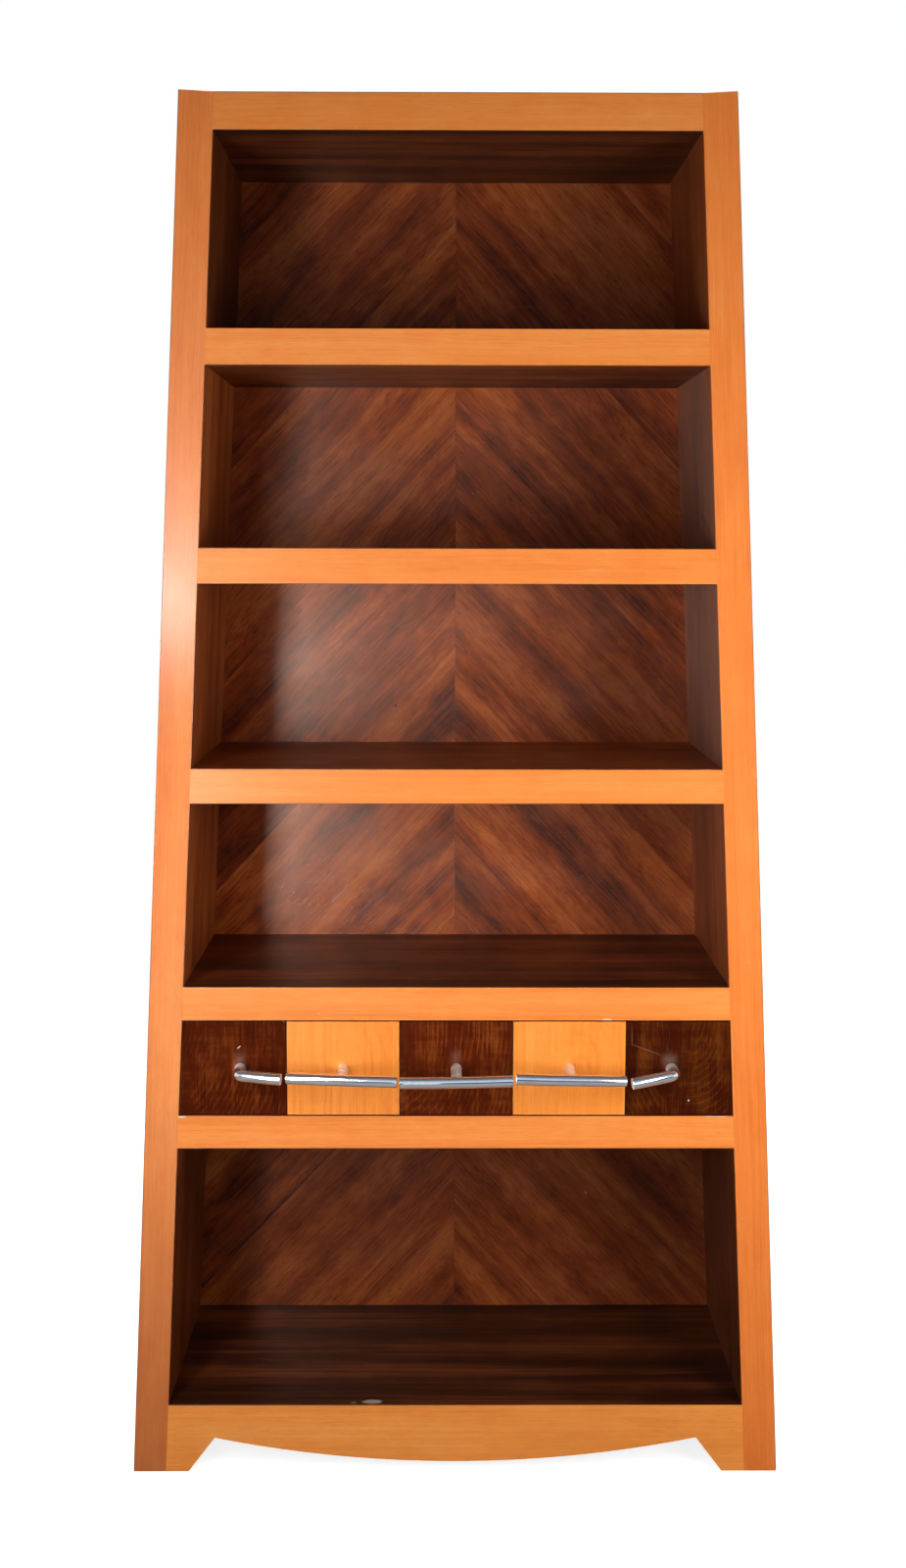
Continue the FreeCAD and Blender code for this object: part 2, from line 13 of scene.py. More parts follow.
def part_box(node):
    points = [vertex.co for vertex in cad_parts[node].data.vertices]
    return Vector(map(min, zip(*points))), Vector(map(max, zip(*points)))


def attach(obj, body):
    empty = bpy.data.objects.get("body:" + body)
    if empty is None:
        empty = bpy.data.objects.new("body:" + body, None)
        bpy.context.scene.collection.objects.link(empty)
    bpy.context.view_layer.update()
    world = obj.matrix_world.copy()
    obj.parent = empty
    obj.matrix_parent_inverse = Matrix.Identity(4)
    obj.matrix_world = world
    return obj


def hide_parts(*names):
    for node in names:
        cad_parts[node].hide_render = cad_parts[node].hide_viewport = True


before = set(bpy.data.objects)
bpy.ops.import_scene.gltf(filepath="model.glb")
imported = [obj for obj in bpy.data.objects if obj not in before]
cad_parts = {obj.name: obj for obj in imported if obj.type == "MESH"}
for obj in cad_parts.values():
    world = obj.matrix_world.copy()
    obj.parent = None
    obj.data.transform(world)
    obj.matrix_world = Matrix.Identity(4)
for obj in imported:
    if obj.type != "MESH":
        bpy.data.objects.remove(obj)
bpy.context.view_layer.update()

log = logging.getLogger("bookcase")

Socket = bpy.types.NodeSocket
Tree = bpy.types.NodeTree
Material = bpy.types.Material
Piece = bpy.types.Object
Triple = tuple[float, float, float]
Colour = tuple[float, float, float, float]

DRAWERS = range(1, 6)
MIDDLE_DRAWERS = range(2, 5)
CASE = "case"
# Degrees by which some sections of the pull have turned on their screws
SLACK = {1: -2.3, 3: 1.0, 4: -3.0, 5: 8.0}


# Shader nodes

def linear(code: str) -> Colour:
    """Turn a six-digit sRGB code into a linear colour.

    Args:
        code: Red, green and blue as two hexadecimal digits each.

    Returns:
        Red, green, blue and a full alpha.
    """
    values = [int(code[at:at + 2], 16) / 255 for at in (0, 2, 4)]
    red, green, blue = (v / 12.92 if v <= 0.04045 else ((v + 0.055) / 1.055) ** 2.4 for v in values)
    return red, green, blue, 1.0


class Shader:
    """Adds and links nodes in one node tree."""

    def __init__(self, tree: Tree) -> None:
        """Keep the tree that the nodes go into."""
        self.tree = tree

    def feed(self, socket: Socket, value: Any) -> None:
        """Link a socket to another one, or set its value.

        Args:
            socket: The socket.
            value: What feeds it.
        """
        if isinstance(value, Socket):
            self.tree.links.new(value, socket)
        else:
            socket.default_value = value

    def fill(self, sockets: Any, values: dict[Any, Any]) -> None:
        """Feed several sockets of a node, by name or number."""
        for key, value in values.items():
            self.feed(sockets[key], value)

    def node(self, kind: str, inputs: dict[Any, Any] | None = None, **settings: Any) -> bpy.types.Node:
        """Add a node.

        Args:
            kind: Type name of the node.
            inputs: What feeds its sockets, by name or number.
            **settings: Properties of the node.

        Returns:
            The new node.
        """
        node = self.tree.nodes.new(kind)
        for key, value in settings.items():
            setattr(node, key, value)
        self.fill(node.inputs, inputs or {})
        return node

    def math(self, operation: str, *values: Any) -> Socket:
        """Put out the result of a sum on numbers."""
        return self.node("ShaderNodeMath", dict(enumerate(values)), operation=operation).outputs[0]

    def vector(self, operation: str, *values: Any) -> Socket:
        """Put out the result of a sum on vectors, a number for those that give one."""
        node = self.node("ShaderNodeVectorMath", dict(enumerate(values)), operation=operation)
        return node.outputs["Value" if operation in {"LENGTH", "DOT_PRODUCT"} else "Vector"]

    def split(self, vector: Socket) -> list[Socket]:
        """Put out the three parts of a vector."""
        return list(self.node("ShaderNodeSeparateXYZ", {0: vector}).outputs)

    def join(self, x: Any, y: Any, z: Any) -> Socket:
        """Put out a vector made of three numbers."""
        return self.node("ShaderNodeCombineXYZ", {0: x, 1: y, 2: z}).outputs[0]

    def noise(self, vector: Socket, scale: Any, detail: float = 2.0, rough: float = 0.5) -> Socket:
        """Put out smooth noise between 0 and 1."""
        inputs = {"Vector": vector, "Scale": scale, "Detail": detail, "Roughness": rough}
        return self.node("ShaderNodeTexNoise", inputs).outputs["Fac"]

    def fade(self, value: Any, start: Any, end: Any, low: Any = 0.0, high: Any = 1.0) -> Socket:
        """Put out a smooth step from low to high while a value goes from start to end."""
        inputs = {"Value": value, "From Min": start, "From Max": end, "To Min": low, "To Max": high}
        return self.node("ShaderNodeMapRange", inputs, interpolation_type="SMOOTHSTEP").outputs["Result"]

    def times(self, first: Any, second: Any) -> Socket:
        """Put out the product of two numbers."""
        return self.math("MULTIPLY", first, second)

    def sway(self, value: Any, noise: Socket, weight: float) -> Socket:
        """Put out a value moved up or down by a noise round 0.5."""
        return self.math("MULTIPLY_ADD", self.math("SUBTRACT", noise, 0.5), weight, value)

    def mix(self, share: Any, first: Any, second: Any) -> Socket:
        """Put out a mix of two colours."""
        inputs = {0: share, 6: first, 7: second}
        return self.node("ShaderNodeMix", inputs, data_type="RGBA", clamp_result=True).outputs[2]

    def ramp(self, value: Socket, stops: list[tuple[float, Colour]]) -> Socket:
        """Add a colour ramp.

        Args:
            value: Where on the ramp to look.
            stops: Place and colour of each stop.

        Returns:
            The colour there.
        """
        node = self.node("ShaderNodeValToRGB", {0: value})
        elements = node.color_ramp.elements
        while len(elements) < len(stops):
            elements.new(1.0)
        for element, (place, colour) in zip(elements, stops):
            element.position = place
            element.color = colour
        return node.outputs["Color"]

    def group(self, tree: Tree, inputs: dict[str, Any]) -> dict[str, Socket]:
        """Place a node group, feed it by name and put out its outputs by name."""
        node = self.node("ShaderNodeGroup", inputs, node_tree=tree)
        return {socket.name: socket for socket in node.outputs}

    def seen(self) -> Socket:
        """Put out 1 for the rays of the camera and of gloss, and 0 for those of plain light."""
        path = self.node("ShaderNodeLightPath").outputs
        return self.math("MAXIMUM", path["Is Camera Ray"],
                         self.math("MAXIMUM", path["Is Glossy Ray"], path["Is Transmission Ray"]))


def new_material(name: str) -> tuple[Material, Shader, bpy.types.Node]:
    """Make a material with nodes.

    Args:
        name: Its name.

    Returns:
        The material, a shader for its tree, and its Principled node.
    """
    material = bpy.data.materials.new(name)
    material.use_nodes = True
    return material, Shader(material.node_tree), material.node_tree.nodes["Principled BSDF"]


class GroupSheet(Shader):
    """A shader node group while it is being drawn."""

    def __init__(self, name: str, inputs: dict[str, Any], outputs: tuple[str, ...]) -> None:
        """Start a group.

        Args:
            name: Name of the group.
            inputs: Its inputs with their first values, a tuple for a vector.
            outputs: Its outputs. The one called Vector is a vector, the others are numbers.
        """
        tree = bpy.data.node_groups.new(name, "ShaderNodeTree")
        for key, value in inputs.items():
            kind = "NodeSocketVector" if isinstance(value, tuple) else "NodeSocketFloat"
            tree.interface.new_socket(key, in_out="INPUT", socket_type=kind).default_value = value
        for key in outputs:
            kind = "NodeSocketVector" if key == "Vector" else "NodeSocketFloat"
            tree.interface.new_socket(key, in_out="OUTPUT", socket_type=kind)
        super().__init__(tree)
        self.given = tree.nodes.new("NodeGroupInput").outputs
        self.result = tree.nodes.new("NodeGroupOutput").inputs

    def finish(self, **outputs: Socket) -> Tree:
        """Link the outputs and hand the group over."""
        self.fill(self.result, outputs)
        return self.tree


ORIGIN = (0.0, 0.0, 0.0)


def grain_group() -> Tree:
    """Draw the grain of a board that runs along the pattern's X axis.

    Returns:
        Group with the broad bands, streaks and fine fibres of the wood, its short pores, and the
        mottle of its stain.
    """
    sheet = GroupSheet("wood_grain", {"Vector": ORIGIN, "Fineness": 1.0, "Wander": 0.01},
                       ("Band", "Streak", "Fibre", "Pore", "Mottle"))
    place = sheet.given["Vector"]
    bend = sheet.noise(sheet.vector("MULTIPLY", place, (2.2, 7.0, 7.0)), 1.0)
    push = sheet.times(sheet.math("SUBTRACT", bend, 0.5), sheet.given["Wander"])
    line = sheet.vector("ADD", place, sheet.join(0.0, push, push))
    fine = sheet.given["Fineness"]
    layers = {}
    for key, scale, detail, rough in (("Band", (0.9, 16.0, 16.0), 2.0, 0.5),
                                      ("Streak", (1.6, 110.0, 110.0), 4.0, 0.6),
                                      ("Fibre", (9.0, 420.0, 420.0), 2.0, 0.6),
                                      ("Pore", (40.0, 760.0, 760.0), 1.0, 0.5),
                                      ("Mottle", (16.0, 34.0, 34.0), 4.0, 0.65)):
        layers[key] = sheet.noise(sheet.vector("MULTIPLY", line, scale), fine, detail, rough)
    layers["Pore"] = sheet.fade(layers["Pore"], 0.58, 0.70)
    return sheet.finish(**layers)


def crown_group() -> Tree:
    """Draw the thin arched lines of a board cut off the heart, and the ripple across it.

    Returns:
        Group with the rings, round the pattern's origin, and the ripple.
    """
    sheet = GroupSheet("crown_figure", {"Vector": ORIGIN, "Rings": 150.0, "Slope": 0.6, "Wander": 2.5},
                       ("Ring", "Ripple"))
    place = sheet.given["Vector"]
    along, _, across = sheet.split(place)
    rise = sheet.times(along, sheet.given["Slope"])
    radius = sheet.vector("LENGTH", sheet.join(rise, 0.0, across))
    bend = sheet.noise(sheet.vector("MULTIPLY", place, (9.0, 20.0, 20.0)), 1.0, 3.0)
    turns = sheet.math("MULTIPLY_ADD", radius, sheet.given["Rings"],
                       sheet.times(bend, sheet.given["Wander"]))
    wave = sheet.math("SINE", sheet.times(turns, math.tau))
    spots = sheet.noise(sheet.vector("MULTIPLY", place, (11.0, 11.0, 17.0)), 1.0, 1.0)
    patch = sheet.fade(spots, 0.40, 0.62)
    ring = sheet.times(sheet.fade(wave, 0.3, 1.0), patch)
    ripple = sheet.noise(sheet.vector("MULTIPLY", place, (120.0, 15.0, 15.0)), 1.0, 2.0)
    return sheet.finish(Ring=ring, Ripple=ripple)


def match_group() -> Tree:
    """Lay slanting veneer leaves on both sides of a middle seam, as mirror images.

    Returns:
        Group with the place on a leaf, X along its grain, the tone of the leaf and the joints.
    """
    sheet = GroupSheet("slanting_leaves", {"Vector": ORIGIN, "Slant": 0.82, "Leaf": 0.19, "Joint": 0.0005},
                       ("Vector", "Tone", "Seam"))
    x, _, z = sheet.split(sheet.given["Vector"])
    hand = sheet.math("SIGN", x)
    reach = sheet.math("ABSOLUTE", x)
    cosine = sheet.math("COSINE", sheet.given["Slant"])
    sine = sheet.math("SINE", sheet.given["Slant"])
    along = sheet.math("SUBTRACT", sheet.times(reach, cosine), sheet.times(z, sine))
    across = sheet.math("ADD", sheet.times(reach, sine), sheet.times(z, cosine))
    step = sheet.math("DIVIDE", across, sheet.given["Leaf"])
    leaf = sheet.math("FLOOR", step)
    key = sheet.math("MULTIPLY_ADD", hand, 0.37, leaf)
    tone = sheet.node("ShaderNodeTexWhiteNoise", {"W": key}, noise_dimensions="1D").outputs["Value"]
    shifted = sheet.math("MULTIPLY_ADD", tone, 3.0, along)
    spread = sheet.math("MULTIPLY_ADD", hand, 0.013, across)
    edge = sheet.times(sheet.math("PINGPONG", step, 0.5), sheet.given["Leaf"])
    near = sheet.math("MINIMUM", edge, reach)
    seam = sheet.fade(near, sheet.given["Joint"], 0.0)
    return sheet.finish(Vector=sheet.join(shifted, 0.0, spread), Tone=tone, Seam=seam)


def wear_group() -> Tree:
    """Scatter the small marks of use over a finish.

    Returns:
        Group with pale flecks, hairline scratches and a smear that dulls the gloss.
    """
    sheet = GroupSheet("signs_of_use", {"Vector": ORIGIN, "Flecks": 0.5, "Scratches": 0.5},
                       ("Fleck", "Scratch", "Smear"))
    place = sheet.given["Vector"]
    cells = sheet.node("ShaderNodeTexVoronoi", {"Vector": place, "Scale": 38.0})
    chance = sheet.split(cells.outputs["Color"])
    size = sheet.times(sheet.math("POWER", chance[0], 9.0), 0.06)
    fleck = sheet.times(sheet.math("LESS_THAN", cells.outputs["Distance"], size),
                       sheet.given["Flecks"])
    strands = []
    for turn in (0.5, 2.1):
        laid = sheet.node("ShaderNodeMapping", {"Vector": place, "Rotation": (turn, turn, turn),
                                                "Scale": (3.0, 90.0, 90.0)}).outputs[0]
        line = sheet.fade(sheet.math("ABSOLUTE", sheet.math("SUBTRACT", sheet.noise(laid, 1.0, 1.0), 0.5)),
                          0.006, 0.0)
        patch = sheet.fade(sheet.noise(place, 7.0 + turn, 1.0), 0.60, 0.72)
        strands.append(sheet.times(line, patch))
    scratch = sheet.times(sheet.math("MAXIMUM", *strands), sheet.given["Scratches"])
    smear = sheet.noise(sheet.vector("MULTIPLY", place, (5.0, 5.0, 9.0)), 1.0, 5.0, 0.6)
    return sheet.finish(Fleck=fleck, Scratch=scratch, Smear=smear)


def mark_group() -> Tree:
    """Draw one rough-edged spot of a given size at a given place.

    Returns:
        Group with the mask of the spot.
    """
    sheet = GroupSheet("single_mark", {"Vector": ORIGIN, "Centre": ORIGIN, "Radii": (0.01, 0.01, 0.01),
                                       "Turn": 0.0, "Ragged": 0.6, "Core": 0.7}, ("Mask",))
    apart = sheet.vector("SUBTRACT", sheet.given["Vector"], sheet.given["Centre"])
    turned = sheet.node("ShaderNodeVectorRotate", {"Vector": apart, "Angle": sheet.given["Turn"]},
                        rotation_type="Y_AXIS").outputs[0]
    spread = sheet.vector("DIVIDE", turned, sheet.given["Radii"])
    rough = sheet.math("SUBTRACT", sheet.noise(spread, 1.6, 4.0, 0.7), 0.5)
    reach = sheet.math("MULTIPLY_ADD", rough, sheet.given["Ragged"], sheet.vector("LENGTH", spread))
    return sheet.finish(Mask=sheet.fade(reach, 1.0, sheet.given["Core"]))


GRAIN = grain_group()
CROWN = crown_group()
MATCH = match_group()
WEAR = wear_group()
MARK = mark_group()


# Finishes

class Way(Enum):
    """Way the grain of a piece runs, as the turn that lays it along the pattern's X axis."""

    SIDEWAYS = (0.0, 0.0, 0.0)
    UPRIGHT = (0.0, math.pi / 2, 0.0)
    DEEP = (0.0, 0.0, -math.pi / 2)


@dataclass(frozen=True)
class Mark:
    """A single chip, scuff, scratch or stain, or a broad patch of painted shade or painted sheen."""

    centre: Triple
    radii: Triple
    tone: str
    turn: float = 0.0
    strength: float = 0.8
    ragged: float = 0.9
    core: float = 0.7


@dataclass(frozen=True)
class Lay:
    """How a finish lies on one piece: the way of its grain, its shift and its single marks."""

    way: Way
    shift: Triple = ORIGIN
    lean: float = 0.0
    marks: tuple[Mark, ...] = ()


@dataclass(frozen=True)
class Wood:
    """A wood under lacquer: its tones from dark to light, the weight of its grain, and its gloss."""

    dark: str
    base: str
    light: str
    pore: str
    fineness: float = 1.0
    wander: float = 0.012
    bands: float = 1.0
    streaks: float = 0.8
    fibres: float = 0.5
    mottle: float = 0.4
    pores: float = 0.4
    rough: float = 0.42
    specular: float = 0.25
    sheen: str = "FFFFFF"
    bump: float = 0.25
    depth: float = 0.0004
    flecks: float = 0.25
    scratches: float = 0.2
    fleck_tone: str = "D8C3A5"

    def tone(self, shader: Shader, local: Socket) -> tuple[Socket, Socket]:
        """Work out how light the wood is.

        Args:
            shader: Node tree of the material.
            local: Place on the piece, with X along the grain.

        Returns:
            The tone, 0.5 for the middle one, and the mask of the pores.
        """
        grain = shader.group(GRAIN, {"Vector": local, "Fineness": self.fineness, "Wander": self.wander})
        tone = 0.5
        for key, weight in (("Band", self.bands), ("Streak", self.streaks), ("Fibre", self.fibres),
                            ("Mottle", self.mottle)):
            tone = shader.sway(tone, grain[key], weight)
        return tone, shader.times(grain["Pore"], self.pores)

    def pattern(self, shader: Shader, local: Socket) -> tuple[Socket, Socket]:
        """Draw the wood itself.

        Args:
            shader: Node tree of the material.
            local: Place on the piece, with X along the grain.

        Returns:
            The colour and the height of the surface.
        """
        tone, pore = self.tone(shader, local)
        colour = shader.ramp(tone, [(0.15, linear(self.dark)), (0.50, linear(self.base)),
                                    (0.85, linear(self.light))])
        colour = shader.mix(pore, colour, linear(self.pore))
        return colour, shader.math("SUBTRACT", shader.times(tone, 0.4), pore)

    def gloss(self, shader: Shader, place: Socket, smear: Socket) -> Socket:
        """Put out the roughness, a little uneven where hands have smeared it."""
        return shader.fade(smear, 0.3, 0.7, self.rough - 0.07, self.rough + 0.08)

    def material(self, name: str, lay: Lay) -> Material:
        """Make the finish for one piece.

        Args:
            name: Name of the piece.
            lay: How the finish lies on it.

        Returns:
            The material.
        """
        material, shader, surface = new_material(f"{name}_finish")
        place = shader.node("ShaderNodeTexCoord").outputs["Object"]
        turn = (lay.way.value[0], lay.way.value[1] - lay.lean, lay.way.value[2])
        local = shader.node("ShaderNodeMapping", {"Vector": place, "Rotation": turn,
                                                  "Location": lay.shift}).outputs[0]
        colour, height = self.pattern(shader, local)
        wear = shader.group(WEAR, {"Vector": local, "Flecks": self.flecks, "Scratches": self.scratches})
        worn = shader.math("MAXIMUM", wear["Fleck"], wear["Scratch"])
        colour = shader.mix(worn, colour, linear(self.fleck_tone))
        # Single marks: chips, scuffs and stains, and broad patches of painted shade and painted sheen; each
        # also lowers the bump height
        for mark in lay.marks:
            mask = shader.group(MARK, {"Vector": place, "Centre": mark.centre, "Radii": mark.radii,
                                       "Turn": mark.turn, "Ragged": mark.ragged, "Core": mark.core})["Mask"]
            share = shader.times(mask, mark.strength)
            colour = shader.mix(share, colour, linear(mark.tone))
            height = shader.math("SUBTRACT", height, share)
        bump = shader.node("ShaderNodeBump", {"Height": height, "Strength": self.bump,
                                              "Distance": self.depth}).outputs["Normal"]
        gloss = self.gloss(shader, place, wear["Smear"])
        shader.fill(surface.inputs, {"Base Color": colour, "Roughness": gloss, "Normal": bump,
                                     "Specular IOR Level": self.specular,
                                     "Specular Tint": linear(self.sheen)})
        return material


@dataclass(frozen=True)
class RubbedWood(Wood):
    """An upright wood that is dull near the floor and polished by hands over a stretch of its height."""

    dull: float = 0.85
    polished: float = 0.28
    start: tuple[float, float] = (1.01, 1.30)
    stop: tuple[float, float] = (1.40, 1.58)

    def gloss(self, shader: Shader, place: Socket, smear: Socket) -> Socket:
        """Put out the roughness at each level, without the plain wood's smears."""
        level = shader.split(place)[2]
        return shader.fade(level, *self.stop, shader.fade(level, *self.start, self.dull, self.polished),
                           self.rough)


@dataclass(frozen=True)
class CrownWood(Wood):
    """A wood with an arched figure and a ripple, for the drawer fronts."""

    rings: float = 150.0
    slope: float = 0.6
    figure: float = 0.4
    ripple: float = 0.5

    def tone(self, shader: Shader, local: Socket) -> tuple[Socket, Socket]:
        """Add the figure to the plain wood's tone.

        Args:
            shader: Node tree of the material.
            local: Place on the piece, with X along the grain.

        Returns:
            The tone and the mask of the pores.
        """
        tone, pore = super().tone(shader, local)
        crown = shader.group(CROWN, {"Vector": local, "Rings": self.rings, "Slope": self.slope})
        tone = shader.math("MULTIPLY_ADD", crown["Ring"], self.figure, tone)
        return shader.sway(tone, crown["Ripple"], self.ripple), pore


@dataclass(frozen=True)
class MatchedWood(Wood):
    """Slanting veneer leaves, mirrored at the middle of a panel."""

    slant: float = math.radians(47)
    leaf: float = 0.21
    leaves: float = 0.3
    joints: float = 0.5

    def pattern(self, shader: Shader, local: Socket) -> tuple[Socket, Socket]:
        """Draw the leaves, each with a tone of its own.

        Args:
            shader: Node tree of the material.
            local: Place on the panel.

        Returns:
            The colour and the height of the surface.
        """
        match = shader.group(MATCH, {"Vector": local, "Slant": self.slant, "Leaf": self.leaf})
        colour, height = super().pattern(shader, match["Vector"])
        tint = shader.times(match["Tone"], self.leaves)
        colour = shader.mix(tint, colour, linear(self.dark))
        seam = shader.times(match["Seam"], self.joints)
        return shader.mix(seam, colour, linear(self.pore)), shader.math("SUBTRACT", height, seam)


@dataclass(frozen=True)
class Metal:
    """A plated metal with fine pitting and rubbed places."""

    bright: str
    dull: str
    rough: float
    worn_rough: float
    metal: float = 1.0
    pits: float = 0.5
    pit_tone: str = "6B6660"
    depth: float = 0.0002
    haze: float = 0.0
    haze_rough: float = 0.4
    haze_tone: str = "F6E6DC"
    matt_from: float = 0.0
    matt_to: float = 0.0
    matt_rough: float = 0.42

    def material(self, name: str, _lay: Lay | None = None) -> Material:
        """Make the finish for one piece, matt past a depth where one is given.

        Args:
            name: Name of the piece.
            _lay: Not used, because a metal has no grain.

        Returns:
            The material.
        """
        material, shader, surface = new_material(f"{name}_finish")
        place = shader.node("ShaderNodeTexCoord").outputs["Object"]
        rubbed = shader.fade(shader.noise(place, 45.0, 5.0, 0.65), 0.50, 0.75)
        gloss = shader.fade(rubbed, 0.0, 1.0, self.rough, self.worn_rough)
        if self.matt_from < self.matt_to:
            matt = shader.fade(shader.split(place)[1], self.matt_from, self.matt_to)
            rubbed = shader.math("MAXIMUM", rubbed, matt)
            gloss = shader.math("MAXIMUM", gloss, shader.times(matt, self.matt_rough))
        pit = shader.fade(shader.noise(place, 1400.0, 2.0), 0.66, 0.74, 0.0, self.pits)
        pit = shader.times(pit, shader.fade(shader.noise(place, 90.0, 2.0), 0.45, 0.65))
        colour = shader.mix(rubbed, linear(self.bright), linear(self.dull))
        colour = shader.mix(pit, colour, linear(self.pit_tone))
        gloss = shader.math("ADD", gloss, shader.times(pit, 0.4))
        bump = shader.node("ShaderNodeBump", {"Height": shader.math("SUBTRACT", 1.0, pit), "Strength": 0.3,
                                              "Distance": self.depth}).outputs["Normal"]
        shader.fill(surface.inputs, {"Base Color": colour, "Roughness": gloss, "Normal": bump,
                                     "Metallic": self.metal, "Sheen Weight": self.haze,
                                     "Sheen Roughness": self.haze_rough,
                                     "Sheen Tint": linear(self.haze_tone)})
        return material


LIGHT_WOOD = Wood(dark="E07A32", base="EF8A3F", light="F49A50", pore="CE7230", fineness=1.2, bands=0.8,
                  streaks=0.6, mottle=0.5, pores=0.25, specular=0.055, sheen="FFCCB4")
STILE_WOOD = replace(LIGHT_WOOD, dark="DA7030", base="EA823A", light="F0924A")
RUBBED_STILE = RubbedWood(**asdict(replace(STILE_WOOD, specular=0.08, sheen="FFFFFF")))
APRON_WOOD = replace(LIGHT_WOOD, dark="E28436", base="F19545", light="F6A456")
SIDE_VENEER = Wood(dark="50200C", base="86401B", light="A85C2E", pore="30120A", wander=0.02, pores=0.06,
                   rough=0.36, specular=0.15, sheen="FFD4C0", scratches=0.05, fleck_tone="8C6844")
BOARD_VENEER = replace(SIDE_VENEER, dark="2E1007", base="5C280F", light="884420", pore="240D07", bands=1.4,
                       streaks=1.2)
# Painted shade: a darker copy of the board veneer for the ceiling of the top bay and the floor of the
# bottom bay
PAINTED_SHADE_VENEER = replace(BOARD_VENEER, dark="1A0702", base="3D1A0A", light="6A3418")
# The lower shelf takes the lighter side veneer as painted sheen on the floor of the third bay
BOARD_FINISHES = {"top_board": PAINTED_SHADE_VENEER, "lower_shelf": SIDE_VENEER, "bottom_board": PAINTED_SHADE_VENEER}
BACK_VENEER = MatchedWood(dark="44170A", base="8C3D16", light="B4602A", pore="30120A", wander=0.04,
                          bands=1.5, streaks=0.4, mottle=0.8, pores=0.5, rough=0.38, specular=0.12,
                          sheen="FFD4C0", scratches=0.1, fleck_tone="906C48")
DRAWER_DARK = CrownWood(dark="340F05", base="4E1B09", light="763815", pore="240C05", rough=0.36, bands=0.4,
                        streaks=0.25, mottle=1.0, figure=0.15, ripple=0.3, specular=0.0,
                        fleck_tone="A98A70")
DRAWER_LIGHT = CrownWood(dark="EC822C", base="F8933B", light="FCA04A", pore="D67424", fineness=1.5,
                         bands=0.6, pores=0.3, rough=0.38, rings=90.0, slope=0.25, figure=-0.15, ripple=0.2,
                         flecks=0.1, specular=0.04)
DRAWER_FINISHES = {1: DRAWER_DARK, 2: DRAWER_LIGHT,
                   3: replace(DRAWER_DARK, dark="3A1206", base="58200C", light="824018"), 4: DRAWER_LIGHT,
                   5: replace(DRAWER_DARK, dark="290C04", base="3F1507", light="62300F")}
BOX_WOOD = Wood(dark="B98B57", base="D2A66E", light="E0BA85", pore="9A6F3F", rough=0.6)
BOX_BOTTOM = Wood(dark="A87C4C", base="C49A66", light="D4AE7C", pore="8A6238", fineness=0.6, rough=0.65)
CHROME = Metal(bright="E0E2E6", dull="D2D3D3", rough=0.07, worn_rough=0.10, metal=0.95, haze=0.35)
POST_CHROME = Metal(bright="E8E3DE", dull="D0C8C0", rough=0.25, worn_rough=0.42, metal=0.35, haze=0.3)
CUT_END = Metal(bright="CFCBC6", dull="B5AFA8", rough=0.7, worn_rough=0.8, metal=0.2)
STEEL = Metal(bright="B9B9B6", dull="9B9A96", rough=0.3, worn_rough=0.45)

SCUFF = "8E7668"
CHIP = "E8D8C4"
BARE = "B9A695"
# Painted sheen: a pale grey tint that stands for the gloss reflection on the right inner side
PAINTED_SHEEN = "9A8478"
# Painted shade: a dark tint laid over the back and the inner sides in the top and bottom bays, and over the
# foot of the left stile
PAINTED_SHADE = "200A03"
STAIN = "200A05"
# Painted shade: the near-black of a small hole in the back
PAINTED_HOLE_SHADE = "120502"
